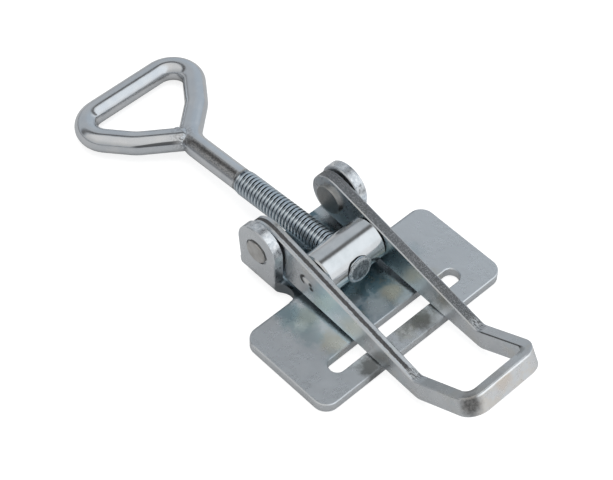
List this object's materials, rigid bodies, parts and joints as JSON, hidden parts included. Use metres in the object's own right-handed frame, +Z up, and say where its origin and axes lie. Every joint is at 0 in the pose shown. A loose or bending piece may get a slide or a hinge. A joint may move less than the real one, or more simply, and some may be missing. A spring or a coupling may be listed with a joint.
{
  "type": "over centre toggle latch",
  "caption": "Adjustable over centre toggle latch: a slotted folded base plate, a forked lever with a raised handle, and a threaded rod with a triangular pulling eye.",
  "frame": {"origin": "centre of the flat base plate's footprint, on its mounting face", "axes": "+X from the pulling eye towards the lever's handle, +Y across the latch, +Z up from the mounting face"},
  "size_m": [0.2088, 0.09, 0.0293],
  "materials": {
    "zinc_sheet": "satin zinc plate",
    "zinc_bar": "satin zinc plate with sheared edges",
    "zinc_rivet": "satin zinc plate",
    "bright_zinc": "bright zinc plate"
  },
  "bodies": {
    "base": {"base_plate": "zinc_sheet", "pivot_rivet_left": "zinc_rivet", "pivot_rivet_right": "zinc_rivet"},
    "lever": {"lever": "zinc_bar"},
    "trunnion": {"trunnion": "bright_zinc"},
    "eye": {"eye_bolt": "bright_zinc"}
  },
  "joints": [
    {"name": "lever_pivot", "type": "hinge", "parent": "base", "child": "lever", "pos_m": [-0.0382, 0, 0.0183], "axis": [0, -1, 0], "range_deg": [0, 150]},
    {"name": "trunnion_swivel", "type": "hinge", "parent": "lever", "child": "trunnion", "pos_m": [-0.0173, 0, 0.0151], "axis": [0, -1, 0], "range_deg": [-150, 0]},
    {"name": "thread_adjust", "type": "slide", "parent": "trunnion", "child": "eye", "axis": [0.9963, 0, 0.0854], "range_m": [0, 0.042]}
  ],
  "couplings": [
    {"joint": "trunnion_swivel", "follows": "lever_pivot", "ratio": -1}
  ]
}
